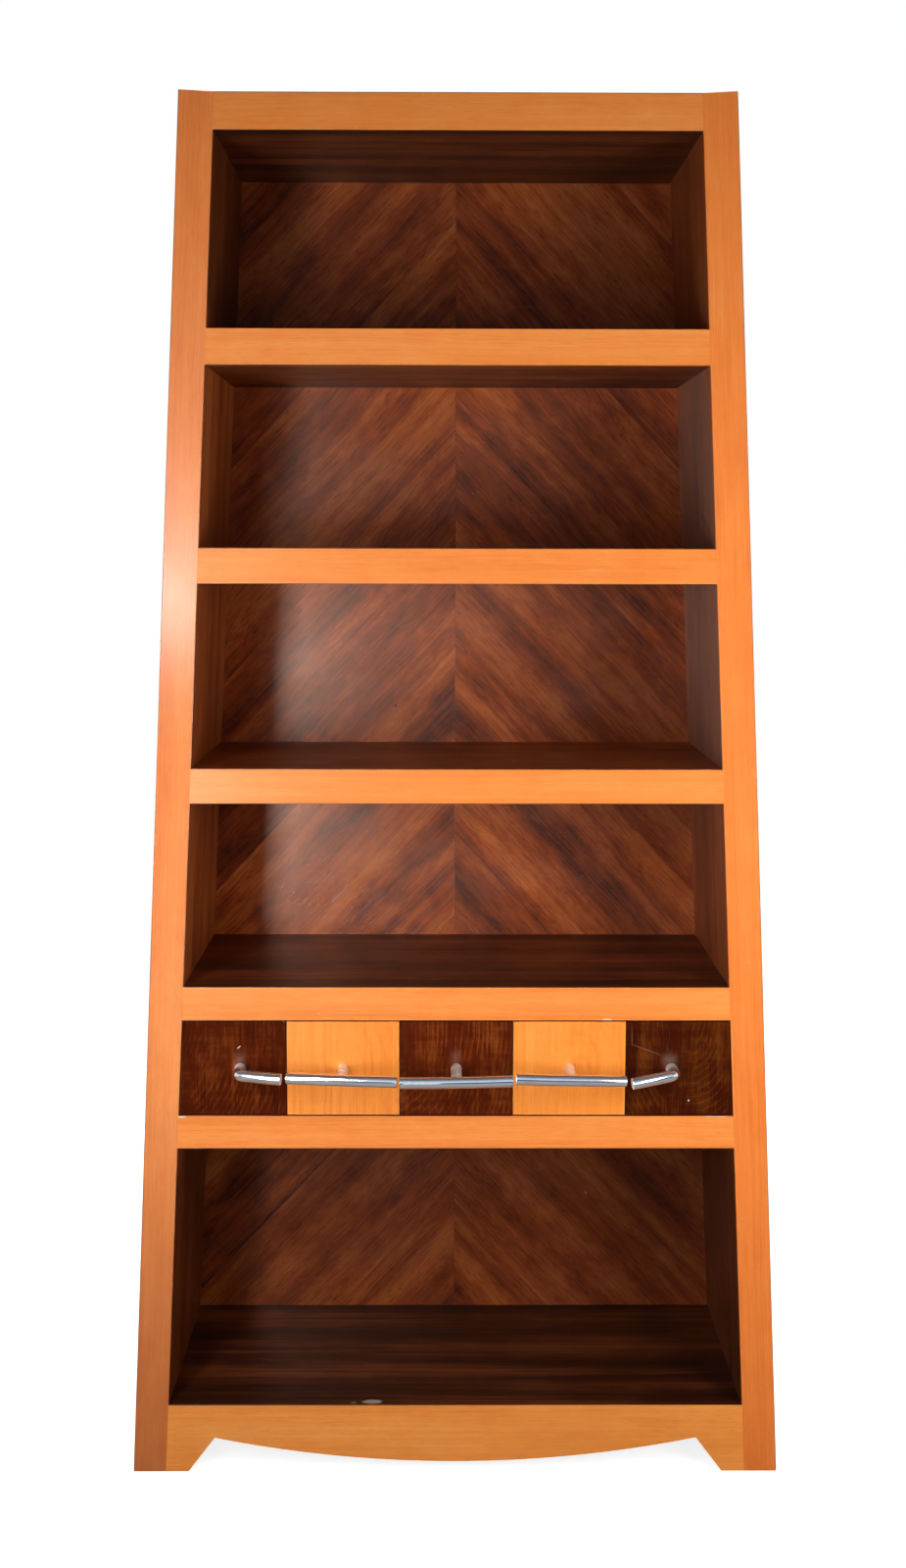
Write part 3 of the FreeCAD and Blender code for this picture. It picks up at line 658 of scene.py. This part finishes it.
# Depths of the front face and of the inner face of the back
FRONT = -0.1355
REAR = 0.2005
MARKS = {
    # A small hole in the back, drawn as a near-black spot of painted shade with a slight dip
    "back_panel": (Mark((-0.092, REAR, 1.0732), (0.0026, 0.01, 0.0026), PAINTED_HOLE_SHADE, strength=1.0, ragged=0.2),
                   Mark((-0.1534, REAR, 0.9), (0.02, 0.01, 0.007), STAIN, turn=0.8, strength=0.5),
                   Mark((0.2111, REAR, 0.29), (0.0022, 0.01, 0.0035), SCUFF, turn=0.6),
                   # Painted shade over the lower part of the back, in the bottom bay
                   Mark((0.0, REAR, 0.22), (0.7, 0.008, 0.32), PAINTED_SHADE, strength=0.3, ragged=0.0)),
    # Painted shade, darker towards the foot of the left stile
    "left_stile": (Mark((-0.45, -0.13, 0.0), (0.4, 0.4, 0.75), PAINTED_SHADE, strength=0.32, ragged=0.0,
                        core=0.1),),
    # Painted shade on the left inner side in the bottom and top bays
    "left_inside": (Mark((-0.40, 0.03, 0.24), (0.3, 0.6, 0.27), PAINTED_SHADE, strength=0.65, ragged=0.0),
                    Mark((-0.33, 0.03, 1.78), (0.3, 0.6, 0.20), PAINTED_SHADE, strength=0.65, ragged=0.0)),
    "bottom_board": (Mark((-0.119, -0.126, 0.101), (0.016, 0.007, 0.01), BARE, strength=0.85),
                     Mark((-0.146, -0.129, 0.101), (0.005, 0.004, 0.01), SCUFF, strength=0.7)),
    "lower_shelf": (Mark((0.082, -0.037, 1.017), (0.0016, 0.003, 0.01), CHIP, ragged=0.3),),
    "drawer_cover_rail": (Mark((0.2097, FRONT, 0.6662), (0.008, 0.02, 0.0022), CHIP),),
    "drawer_deck_rail": (Mark((-0.384, FRONT, 0.5278), (0.008, 0.02, 0.0026), CHIP),
                         Mark((0.3639, FRONT, 0.5282), (0.02, 0.02, 0.0016), CHIP, strength=0.6)),
    "drawer_1_front": (Mark((-0.301, FRONT, 0.608), (0.012, 0.02, 0.02), SCUFF, strength=0.2, core=-0.1),
                       Mark((-0.3019, FRONT, 0.6274), (0.0036, 0.02, 0.0007), CHIP, turn=0.7)),
    "drawer_3_front": (Mark((0.0, FRONT, 0.611), (0.012, 0.02, 0.02), SCUFF, strength=0.2, core=-0.1),),
    "drawer_5_front": (Mark((0.298, FRONT, 0.608), (0.018, 0.02, 0.018), SCUFF, strength=0.25, core=-0.1),
                       Mark((0.2641, FRONT, 0.6241), (0.026, 0.02, 0.0006), SCUFF, turn=-0.36,
                            strength=0.4),
                       Mark((0.3249, FRONT, 0.5508), (0.0015, 0.02, 0.0015), CHIP, ragged=0.3)),
    # Painted sheen on the right inner side in the middle bays, standing for its reflection of the back
    "right_inside": (Mark((0.36, 0.03, 1.28), (0.2, 0.4, 0.36), PAINTED_SHEEN, strength=0.34, ragged=0.0),
                     # Painted shade on the right inner side in the bottom bay
                     Mark((0.40, 0.03, 0.24), (0.3, 0.6, 0.27), PAINTED_SHADE, strength=0.65, ragged=0.0)),
}


# Modelling

# Metres within which points are one, and the angles of flat, sharp, softly rounded and rim edges
MERGE = 2e-6
FLAT = math.radians(0.5)
SHARP = math.radians(30)
SOFT = math.radians(50)
RIM = math.radians(60)


def activate(obj: Piece) -> None:
    """Select one object only and make it the active one.

    Args:
        obj: The object.
    """
    bpy.ops.object.select_all(action="DESELECT")
    obj.select_set(True)
    bpy.context.view_layer.objects.active = obj


def edit(obj: Piece, *steps: Callable[[], Any]) -> None:
    """Run operators on all of an object's mesh in edit mode.

    Args:
        obj: The object.
        *steps: The operators, in order.
    """
    activate(obj)
    bpy.ops.object.mode_set(mode="EDIT")
    bpy.ops.mesh.select_all(action="SELECT")
    for step in steps:
        step()
    bpy.ops.object.mode_set(mode="OBJECT")


def reface(obj: Piece, material: Material, wanted: Callable[[bpy.types.MeshPolygon], bool]) -> None:
    """Give some faces of an object a material of their own.

    Args:
        obj: The object.
        material: The material.
        wanted: Test that those faces pass.
    """
    obj.data.materials.append(material)
    for polygon in obj.data.polygons:
        if wanted(polygon):
            polygon.material_index = len(obj.data.materials) - 1


def apply_modifier(obj: Piece, kind: str, **settings: Any) -> None:
    """Add a modifier to an object, set it up and apply it.

    Args:
        obj: The object.
        kind: Type name of the modifier.
        **settings: Its properties.
    """
    activate(obj)
    modifier = obj.modifiers.new(kind.lower(), kind)
    for key, value in settings.items():
        setattr(modifier, key, value)
    bpy.ops.object.modifier_apply(modifier=modifier.name)


def copy_of(node: str) -> Piece:
    """Copy a CAD node's mesh, merged, with its flat faces whole again.

    Args:
        node: Name of the node.

    Returns:
        A new object at the origin.
    """
    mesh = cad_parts[node].data.copy()
    mesh.materials.clear()
    obj = bpy.data.objects.new(f"{node}_piece", mesh)
    bpy.context.scene.collection.objects.link(obj)
    activate(obj)
    bpy.ops.mesh.customdata_custom_splitnormals_clear()
    edit(obj, lambda: bpy.ops.mesh.remove_doubles(threshold=MERGE),
         lambda: bpy.ops.mesh.dissolve_limited(angle_limit=FLAT))
    return obj


def smooth(obj: Piece, angle: float = SHARP) -> None:
    """Shade an object smooth up to an angle, and keep its large faces flat.

    Args:
        obj: The object.
        angle: Edges sharper than this stay hard.
    """
    activate(obj)
    bpy.ops.object.shade_smooth_by_angle(angle=angle)
    apply_modifier(obj, "WEIGHTED_NORMAL", keep_sharp=True)


def bevel(obj: Piece, width: float, segments: int, angle: float = RIM) -> None:
    """Bevel the edges of an object that are sharper than an angle."""
    apply_modifier(obj, "BEVEL", width=width, segments=segments, limit_method="ANGLE", angle_limit=angle)


def round_edges(obj: Piece, width: float) -> None:
    """Round the edges of an object a little.

    Args:
        obj: The object.
        width: Width of the rounding.
    """
    bevel(obj, width, 2, SHARP)
    edit(obj, lambda: bpy.ops.mesh.dissolve_degenerate(threshold=MERGE))
    smooth(obj, SOFT)


def cut(obj: Piece, cutter: Piece) -> None:
    """Cut one object out of another, and remove it."""
    apply_modifier(obj, "BOOLEAN", object=cutter, operation="DIFFERENCE", solver="EXACT")
    bpy.data.objects.remove(cutter, do_unlink=True)


def disc(name: str, radius: float, sides: int, place: Triple | Vector, turn: float = 0.0) -> Piece:
    """Add a filled disc that stands upright.

    Args:
        name: Name of the object.
        radius: Radius of the disc.
        sides: Number of its sides.
        place: Its middle.
        turn: Its turn about the upright axis, none for a disc across the depth.

    Returns:
        A new object at the origin.
    """
    bpy.ops.mesh.primitive_circle_add(vertices=sides, radius=radius, fill_type="NGON", location=place,
                                      rotation=(math.pi / 2, 0.0, turn))
    obj = bpy.context.object
    obj.name = name
    bpy.ops.object.transform_apply(location=True, rotation=True, scale=True)
    return obj


def draw_out(obj: Piece, length: float) -> None:
    """Extrude a disc along the depth, and turn its faces outwards.

    Args:
        obj: The disc.
        length: How far it goes.
    """
    move = {"value": (0.0, length, 0.0)}
    edit(obj, lambda: bpy.ops.mesh.extrude_region_move(TRANSFORM_OT_translate=move),
         lambda: bpy.ops.mesh.select_all(action="SELECT"),
         lambda: bpy.ops.mesh.normals_make_consistent(inside=False))


@dataclass
class Assembly:
    """Shared work of the sub-assemblies: hanging pieces on bodies and dressing them."""

    body: str
    made: list[str] = field(default_factory=list)

    def settle(self, obj: Piece, finish: Wood | Metal, lay: Lay | None, slot: str, *nodes: str) -> None:
        """Dress a finished piece and let it stand for its CAD nodes.

        Args:
            obj: The piece.
            finish: Its finish.
            lay: How the finish lies on it.
            slot: Not used.
            *nodes: CAD nodes that it stands for.
        """
        obj.data.materials.clear()
        obj.data.materials.append(finish.material(obj.name, lay))
        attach(obj, self.body)
        if nodes:
            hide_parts(*nodes)
        self.made.append(obj.name)
        log.info("%s rides %s", obj.name, self.body)

    def board(self, node: str, width: float, finish: Wood, lay: Lay, slot: str) -> Piece:
        """Copy a CAD board, round its edges and dress it.

        Args:
            node: Name of the board's node.
            width: Width of the rounding.
            finish: Its finish.
            lay: How the finish lies on it.
            slot: Not used, only handed on to settle.

        Returns:
            The piece.
        """
        obj = copy_of(node)
        round_edges(obj, width)
        self.settle(obj, finish, replace(lay, marks=MARKS.get(node, ())), slot, node)
        return obj


# Case

@dataclass
class Case(Assembly):
    """Sides, boards, lippings, back and the partitions of the drawer bay."""

    body: str = CASE
    lip_round: float = 0.00025
    edge_round: float = 0.0006
    inside_reach: float = 0.415
    taper: float = 0.0523684
    pin_radius: float = 0.0016
    seat_radius: float = 0.0019
    seat_depth: float = 0.0006
    pin_sides: int = 16
    pin_round: float = 0.0002
    pin_sink: float = 0.0001
    pin_margin: float = 0.05
    rabbet_offset: float = 0.005
    board_names: tuple[str, ...] = ("top_board", "upper_shelf", "middle_shelf", "lower_shelf",
                                    "drawer_cover", "drawer_deck", "bottom_board")

    def build(self) -> None:
        """Make all the pieces of the case."""
        self.sides()
        self.boards()
        self.lippings()
        self.back()
        self.partitions()

    def sides(self) -> None:
        """Make the two leaning sides with their lippings."""
        slant = math.atan(self.taper)
        for number, (hand, lean) in enumerate((("left", slant), ("right", -slant))):
            lay = Lay(Way.UPRIGHT, (0.4 * number, 0.3, 0.2 + 0.7 * number), lean)
            side = self.board(f"{hand}_side", self.lip_round, SIDE_VENEER, lay, "dark_veneer")
            # The inner faces get a material of their own, carrying the painted shade and painted sheen of
            # their marks
            inside = SIDE_VENEER.material(f"{hand}_inside", replace(lay, marks=MARKS[f"{hand}_inside"]))
            reface(side, inside, lambda face, way=lean: face.normal.x * way > 0.5 * abs(way))
            self.board(f"{hand}_stile", self.lip_round, STILE_WOOD if number else RUBBED_STILE,
                       Lay(Way.UPRIGHT, (1.3 * number, 0.1, 0.9), lean), "light_wood")

    def boards(self) -> None:
        """Make the seven level boards."""
        for number, name in enumerate(self.board_names):
            lay = Lay(Way.SIDEWAYS, (0.61 * number, 0.23 * number, 0.17 * number))
            finish = BOARD_FINISHES.get(name, BOARD_VENEER)
            board = self.board(name, self.lip_round, finish, lay, "dark_veneer")
            if name == "top_board":
                # The top face of the top board takes the plain side veneer, without the painted shade of
                # its underside
                reface(board, SIDE_VENEER.material("top_face", lay), lambda face: face.normal.z > 0.5)

    def lippings(self) -> None:
        """Make the rails on the boards and the apron under the lowest bay."""
        names = ("top_rail", "upper_shelf_rail", "middle_shelf_rail", "lower_shelf_rail",
                 "drawer_cover_rail", "drawer_deck_rail", "apron")
        for number, name in enumerate(names):
            lay = Lay(Way.SIDEWAYS, (0.37 * number, 0.11 * number, 0.29 * number))
            finish = APRON_WOOD if name == "apron" else LIGHT_WOOD
            self.board(name, self.lip_round, finish, lay, "light_wood")

    def back(self) -> None:
        """Make the back panel, with the pins that hold it sunk into its outer face."""
        node = "back_panel"
        panel = copy_of(node)
        round_edges(panel, self.edge_round)
        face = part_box(node)[1].y
        floor = face - self.seat_depth
        cut(panel, self.studs("seats", self.seat_radius, floor, face + self.seat_depth))
        smooth(panel, SOFT)
        lay = Lay(Way.SIDEWAYS, (0.0, 0.0, 0.05), marks=MARKS[node])
        self.settle(panel, BACK_VENEER, lay, "back_veneer", node)
        pins = self.studs("back_pins", self.pin_radius, floor, face - self.pin_sink)
        bevel(pins, self.pin_round, 2)
        smooth(pins)
        self.settle(pins, STEEL, None, "steel")

    def pin_places(self) -> list[tuple[float, float]]:
        """Work out where pins hold the back to the boards and to the rabbets of the sides.

        Returns:
            Sideways place and level of each pin.
        """
        levels = [sum(corner.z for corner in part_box(name)) / 2 for name in self.board_names]
        places = []
        for level in levels:
            reach = self.inside_reach - self.taper * level - self.pin_margin
            places += [(share * reach, level) for share in (-1.0, -0.5, 0.0, 0.5, 1.0)]
        for above, below in zip(levels, levels[1:]):
            level = (above + below) / 2
            reach = self.inside_reach - self.taper * level + self.rabbet_offset
            places += [(-reach, level), (reach, level)]
        return places

    def studs(self, name: str, radius: float, start: float, end: float) -> Piece:
        """Model small discs at the places of the pins, and draw them out across the back face.

        Args:
            name: Name of the joined discs.
            radius: Radius of a disc.
            start: Depth of its inner end.
            end: Depth of its outer end.

        Returns:
            One object with all the discs.
        """
        discs = [disc(name, radius, self.pin_sides, (x, start, z)) for x, z in self.pin_places()]
        activate(discs[0])
        for other in discs[1:]:
            other.select_set(True)
        bpy.ops.object.join()
        draw_out(discs[0], end - start)
        return discs[0]

    def partitions(self) -> None:
        """Make the partitions and guides of the drawer bay."""
        for name in ("drawer_dividers", "end_drawer_guides"):
            self.board(name, self.edge_round, BOX_WOOD, Lay(Way.DEEP), "box_wood")


# Drawers

@dataclass
class Drawer(Assembly):
    """One drawer: its front and its box."""

    number: int = 1
    edge_round: float = 0.0005
    heart_left: float = 0.02
    heart_right: float = 0.06

    def build(self) -> None:
        """Make the front and the box."""
        self.front()
        self.box()

    def front(self) -> None:
        """Make the front, dark on the odd drawers and light on the even ones."""
        node = f"{self.body}_front"
        low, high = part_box(node)
        dark = self.number % 2 == 1
        left = dark and self.number < max(DRAWERS)
        heart = low.x - self.heart_left if left else high.x - self.heart_right
        lay = Lay(Way.UPRIGHT, (-high.z if dark else -low.z, 0.3 * self.number, heart))
        self.board(node, self.edge_round, DRAWER_FINISHES[self.number], lay,
                   "drawer_dark" if dark else "drawer_light")

    def box(self) -> None:
        """Make the sides, back and bottom of the box."""
        for number, part in enumerate(("left_side", "right_side", "back", "bottom")):
            way = Way.SIDEWAYS if part == "back" else Way.DEEP
            lay = Lay(way, (0.3 * self.number, 0.2 * number, 0.5 * self.number + 0.1 * number))
            bottom = part == "bottom"
            self.board(f"{self.body}_{part}", self.edge_round, BOX_BOTTOM if bottom else BOX_WOOD,
                       lay, "box_bottom" if bottom else "box_wood")


# Pulls

@dataclass
class Pull(Assembly):
    """One section of the bowed bar with what holds it to its drawer."""

    number: int = 1
    bar_radius: float = 0.00798
    standoff: float = 0.066
    elbow_standoff: float = 0.033
    elbow_inside: float = 0.0025
    end_round: float = 0.0007
    around: int = 40
    bow_steps: int = 24
    elbow_steps: int = 14
    end_facing: float = 0.97
    post_round: float = 0.0006
    saddle_room: float = 0.001
    screw_round: float = 0.0003
    turn: float = 0.0
    slot_width: float = 0.0014
    slot_depth: float = 0.0014
    slot_turn: float = 0.9

    def __post_init__(self) -> None:
        """Work out the bow that all five sections lie on."""
        self.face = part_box("drawer_3_front")[0].y
        low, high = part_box("drawer_5_screw")
        self.elbow_reach = (low.x + high.x) / 2
        self.level = (low.z + high.z) / 2
        sag = self.standoff - self.elbow_standoff
        self.bow_radius = (self.elbow_reach ** 2 + sag ** 2) / 2 / sag
        self.bow_centre = self.face - self.standoff + self.bow_radius

    def build(self) -> None:
        """Make the bar, its screw, and the post of a middle section."""
        self.bar()
        self.screw()
        if self.number in MIDDLE_DRAWERS:
            self.post()

    def bar(self) -> None:
        """Spin a disc along the bow, round the elbow of an end section, and out to its foot."""
        node = f"{self.body}_bar"
        low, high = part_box(node)
        hand = -1 if self.number == 1 else 1
        end_section = self.number in (1, 5)
        inner_end, outer_end = (low.x, high.x) if hand > 0 else (high.x, low.x)
        start = math.asin(inner_end / self.bow_radius)
        bend_radius = self.bar_radius + self.elbow_inside
        orbit = self.bow_radius - bend_radius
        bend = math.asin((self.elbow_reach - bend_radius) / orbit)
        stop = hand * bend if end_section else math.asin(outer_end / self.bow_radius)
        centre = Vector((self.bow_radius * math.sin(start),
                         self.bow_centre - self.bow_radius * math.cos(start), self.level))
        obj = disc(f"{node}_piece", self.bar_radius, self.around, centre, math.pi / 2 + start)
        bpy.ops.object.mode_set(mode="EDIT")
        bpy.ops.mesh.select_all(action="SELECT")
        bpy.ops.mesh.spin(steps=self.bow_steps, angle=start - stop, axis=(0.0, 0.0, 1.0),
                          center=(0.0, self.bow_centre, self.level))
        if end_section:
            pivot = (hand * orbit * math.sin(bend), self.bow_centre - orbit * math.cos(bend), self.level)
            bpy.ops.mesh.spin(steps=self.elbow_steps, angle=-hand * (math.pi / 2 - bend), center=pivot,
                              axis=(0.0, 0.0, 1.0))
            bpy.ops.mesh.extrude_region_move(
                TRANSFORM_OT_translate={"value": (0.0, self.face - pivot[1], 0.0)})
        bpy.ops.mesh.select_all(action="SELECT")
        bpy.ops.mesh.remove_doubles(threshold=MERGE)
        bpy.ops.mesh.normals_make_consistent(inside=False)
        bpy.ops.object.mode_set(mode="OBJECT")
        bevel(obj, self.end_round, 3)
        pivot = (hand * self.elbow_reach if end_section else (low.x + high.x) / 2, 0.0, self.level)
        edit(obj, lambda: bpy.ops.transform.rotate(value=self.turn, orient_axis="Y", center_override=pivot))
        smooth(obj)
        foot = self.face - self.elbow_standoff + self.bar_radius
        finish = replace(CHROME, matt_from=foot, matt_to=foot + self.bar_radius)
        self.settle(obj, finish, None, "chrome", node)
        reface(obj, CUT_END.material(f"{obj.name}_end"), lambda face: abs(face.normal.x) > self.end_facing
               and face.center.y < foot and abs(face.center.x - inner_end) < self.bar_radius)

    def screw(self) -> None:
        """Copy the CAD screw, round its edges and cut the slot in its head."""
        node = f"{self.body}_screw"
        low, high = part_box(node)
        obj = copy_of(node)
        round_edges(obj, self.screw_round)
        bpy.ops.mesh.primitive_cube_add(size=1.0, location=((low.x + high.x) / 2, high.y, self.level),
                                        rotation=(0.0, self.slot_turn * self.number, 0.0),
                                        scale=(2 * (high.x - low.x), 2 * self.slot_depth, self.slot_width))
        cutter = bpy.context.object
        bpy.ops.object.transform_apply(location=True, rotation=True, scale=True)
        cut(obj, cutter)
        smooth(obj)
        self.settle(obj, STEEL, None, "steel", node)

    def post(self) -> None:
        """Extrude a disc from the drawer front into the saddle under the bar."""
        node = f"{self.body}_post"
        low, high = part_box(node)
        radius = (high.x - low.x) / 2
        place = Vector(((low.x + high.x) / 2, high.y, self.level))
        obj = disc(f"{node}_piece", radius, self.around, place)
        draw_out(obj, low.y + self.saddle_room - high.y)
        bevel(obj, self.post_round, 3)
        smooth(obj)
        self.settle(obj, POST_CHROME, None, "chrome", node)


# Studio

class Rays(Enum):
    """What a lamp adds to: the plain light on the surfaces, and the sheen of their gloss."""

    ALL = (True, True)
    PLAIN = (True, False)
    SHEEN = (False, True)


@dataclass
class Studio:
    """Floor, light and camera."""

    eye: Triple = (-0.0197, -2.5289, 1.3204)
    lens: float = 40.71
    down: float = math.radians(7.704)
    aside: float = math.radians(0.347)
    roll: float = math.radians(0.110)
    ambient: float = 0.09
    aim: Triple = (0.0, 0.0, 0.95)
    floor_size: float = 60.0
    floor_tone: Colour = (0.45, 0.45, 0.45, 1.0)
    white: Colour = (1.0, 1.0, 1.0, 1.0)

    def build(self) -> None:
        """Set up the whole studio."""
        bpy.context.scene.view_settings.view_transform = "Standard"
        self.camera()
        self.floor()
        self.card("low_wall", (0.0, -3.4, 0.56), (12.0, 1.12), math.pi / 2, "3E4855")
        self.card("bright_panel", (-0.33, -3.38, 0.8), (0.38, 1.4), math.pi / 2, "EEF5FF")
        self.card("middle_wall", (0.0, -3.4, 1.51), (12.0, 0.78), math.pi / 2, "C8D8EE")
        self.card("high_wall", (0.0, -3.4, 2.75), (12.0, 1.7), math.pi / 2, "CFE0F8")
        self.card("front_ceiling", (0.0, -2.55, 3.6), (12.0, 1.7), 0.0, "9BA6B1")
        self.card("near_ceiling", (0.0, -0.25, 3.6), (12.0, 2.9), 0.0, "66686E")
        self.card("far_mat", (0.0, -2.3, 0.005), (12.0, 2.2), 0.0, "A3A6AC")
        self.card("middle_mat", (0.0, -0.9, 0.005), (12.0, 0.6), 0.0, "A8A29E")
        self.card("near_mat", (0.0, -0.175, 0.005), (12.0, 0.85), 0.0, "A09186")
        self.world()
        self.lamp("left_lamp", (-0.67, -1.10, 0.98), (0.12, 1.1), 9.6, Rays.PLAIN)
        self.lamp("left_sheen", (-0.64, -1.10, 0.92), (0.13, 0.6), 135.0, Rays.SHEEN)
        self.lamp("upper_sheen", (-0.53, -1.10, 1.30), (0.12, 0.42), 6.5, Rays.SHEEN)
        self.lamp("right_lamp", (0.95, -1.10, 1.00), (0.45, 1.1), 15.6, Rays.PLAIN)
        self.lamp("right_sheen", (0.68, -1.10, 0.90), (0.09, 0.6), 0.8, Rays.SHEEN)
        self.lamp("left_rear_lamp", (-1.7, 1.5, 1.4), (0.8, 0.8), 28.0)
        self.lamp("right_rear_lamp", (1.7, 1.5, 1.4), (0.8, 0.8), 28.0)
        self.lamp("top_lamp", (0.0, 0.9, 3.2), (1.2, 1.2), 45.0)

    def camera(self) -> None:
        """Place the camera as the photograph's."""
        data = bpy.data.cameras.new("camera")
        data.lens = self.lens
        data.sensor_width = 36.0
        data.clip_end = 200.0
        obj = bpy.data.objects.new("camera", data)
        pose = Matrix.Translation(self.eye)
        for angle, axis in ((-self.aside, "Z"), (math.pi / 2 - self.down, "X"), (self.roll, "Z")):
            pose = pose @ Matrix.Rotation(angle, 4, axis)
        obj.matrix_world = pose
        bpy.context.scene.collection.objects.link(obj)
        bpy.context.scene.camera = obj

    def floor(self) -> None:
        """Lay a wide pale floor that the camera sees as white, apart from the shadow."""
        bpy.ops.mesh.primitive_plane_add(size=self.floor_size, location=ORIGIN)
        obj = bpy.context.object
        obj.name = "floor"
        material, shader, surface = new_material("floor_paint")
        seen = shader.seen()
        away = shader.vector("LENGTH", shader.node("ShaderNodeTexCoord").outputs["Object"])
        glow = shader.times(seen, shader.fade(away, 0.6, 3.5, 0.84, 0.97))
        shader.fill(surface.inputs, {"Base Color": self.floor_tone, "Roughness": 0.9,
                                     "Specular IOR Level": 0.0, "Emission Color": self.white,
                                     "Emission Strength": glow})
        obj.data.materials.append(material)

    def card(self, name: str, place: Triple, size: tuple[float, float], tilt: float, tone: str) -> None:
        """Set up a card in front of the bookcase that only its gloss sees.

        Args:
            name: Name of the card.
            place: Its middle.
            size: Its two sides.
            tilt: Its turn about the sideways axis.
            tone: Its colour.
        """
        bpy.ops.mesh.primitive_plane_add(size=1.0, location=place, rotation=(tilt, 0.0, 0.0))
        obj = bpy.context.object
        obj.name = name
        obj.scale = (*size, 1.0)
        for ray in ("camera", "diffuse", "shadow", "transmission", "volume_scatter"):
            setattr(obj, f"visible_{ray}", False)
        material, shader, _ = new_material(name)
        glow = shader.node("ShaderNodeEmission", {"Color": linear(tone), "Strength": 1.0})
        shader.feed(material.node_tree.nodes["Material Output"].inputs["Surface"], glow.outputs[0])
        obj.data.materials.append(material)

    def world(self) -> None:
        """Make the surroundings white to look at and dimmer as light."""
        world = bpy.data.worlds.new("studio")
        world.use_nodes = True
        shader = Shader(world.node_tree)
        seen = shader.seen()
        light, bright = (shader.node("ShaderNodeBackground", {"Color": self.white, "Strength": strength})
                         for strength in (self.ambient, 1.0))
        both = shader.node("ShaderNodeMixShader", {0: seen, 1: light.outputs[0], 2: bright.outputs[0]})
        shader.feed(world.node_tree.nodes["World Output"].inputs["Surface"], both.outputs[0])
        bpy.context.scene.world = world

    def lamp(self, name: str, place: Triple, size: tuple[float, float], power: float,
             rays: Rays = Rays.ALL) -> None:
        """Hang a soft lamp that faces the middle of the bookcase.

        Args:
            name: Name of the lamp.
            place: Where it hangs.
            size: Width and height of its face.
            power: Its power in watts.
            rays: What it adds to.
        """
        data = bpy.data.lights.new(name, "AREA")
        data.shape = "RECTANGLE"
        data.size, data.size_y = size
        data.energy = power
        obj = bpy.data.objects.new(name, data)
        obj.visible_camera = False
        obj.visible_diffuse, obj.visible_glossy = rays.value
        obj.location = place
        obj.rotation_euler = (Vector(self.aim) - Vector(place)).to_track_quat("-Z", "Y").to_euler()
        bpy.context.scene.collection.objects.link(obj)


def main() -> None:
    """Build the studio, the case, the drawers and their pulls."""
    logging.basicConfig(level=logging.INFO, format="%(name)s: %(message)s")
    Studio().build()
    assemblies: list[Assembly] = [Case()]
    for number in DRAWERS:
        body = f"drawer_{number}"
        assemblies += [Drawer(body=body, number=number),
                       Pull(body=body, number=number, turn=math.radians(SLACK.get(number, 0.0)))]
    for assembly in assemblies:
        assembly.build()
    log.info("%d pieces made", sum(len(assembly.made) for assembly in assemblies))


if __name__ == "__main__":
    main()
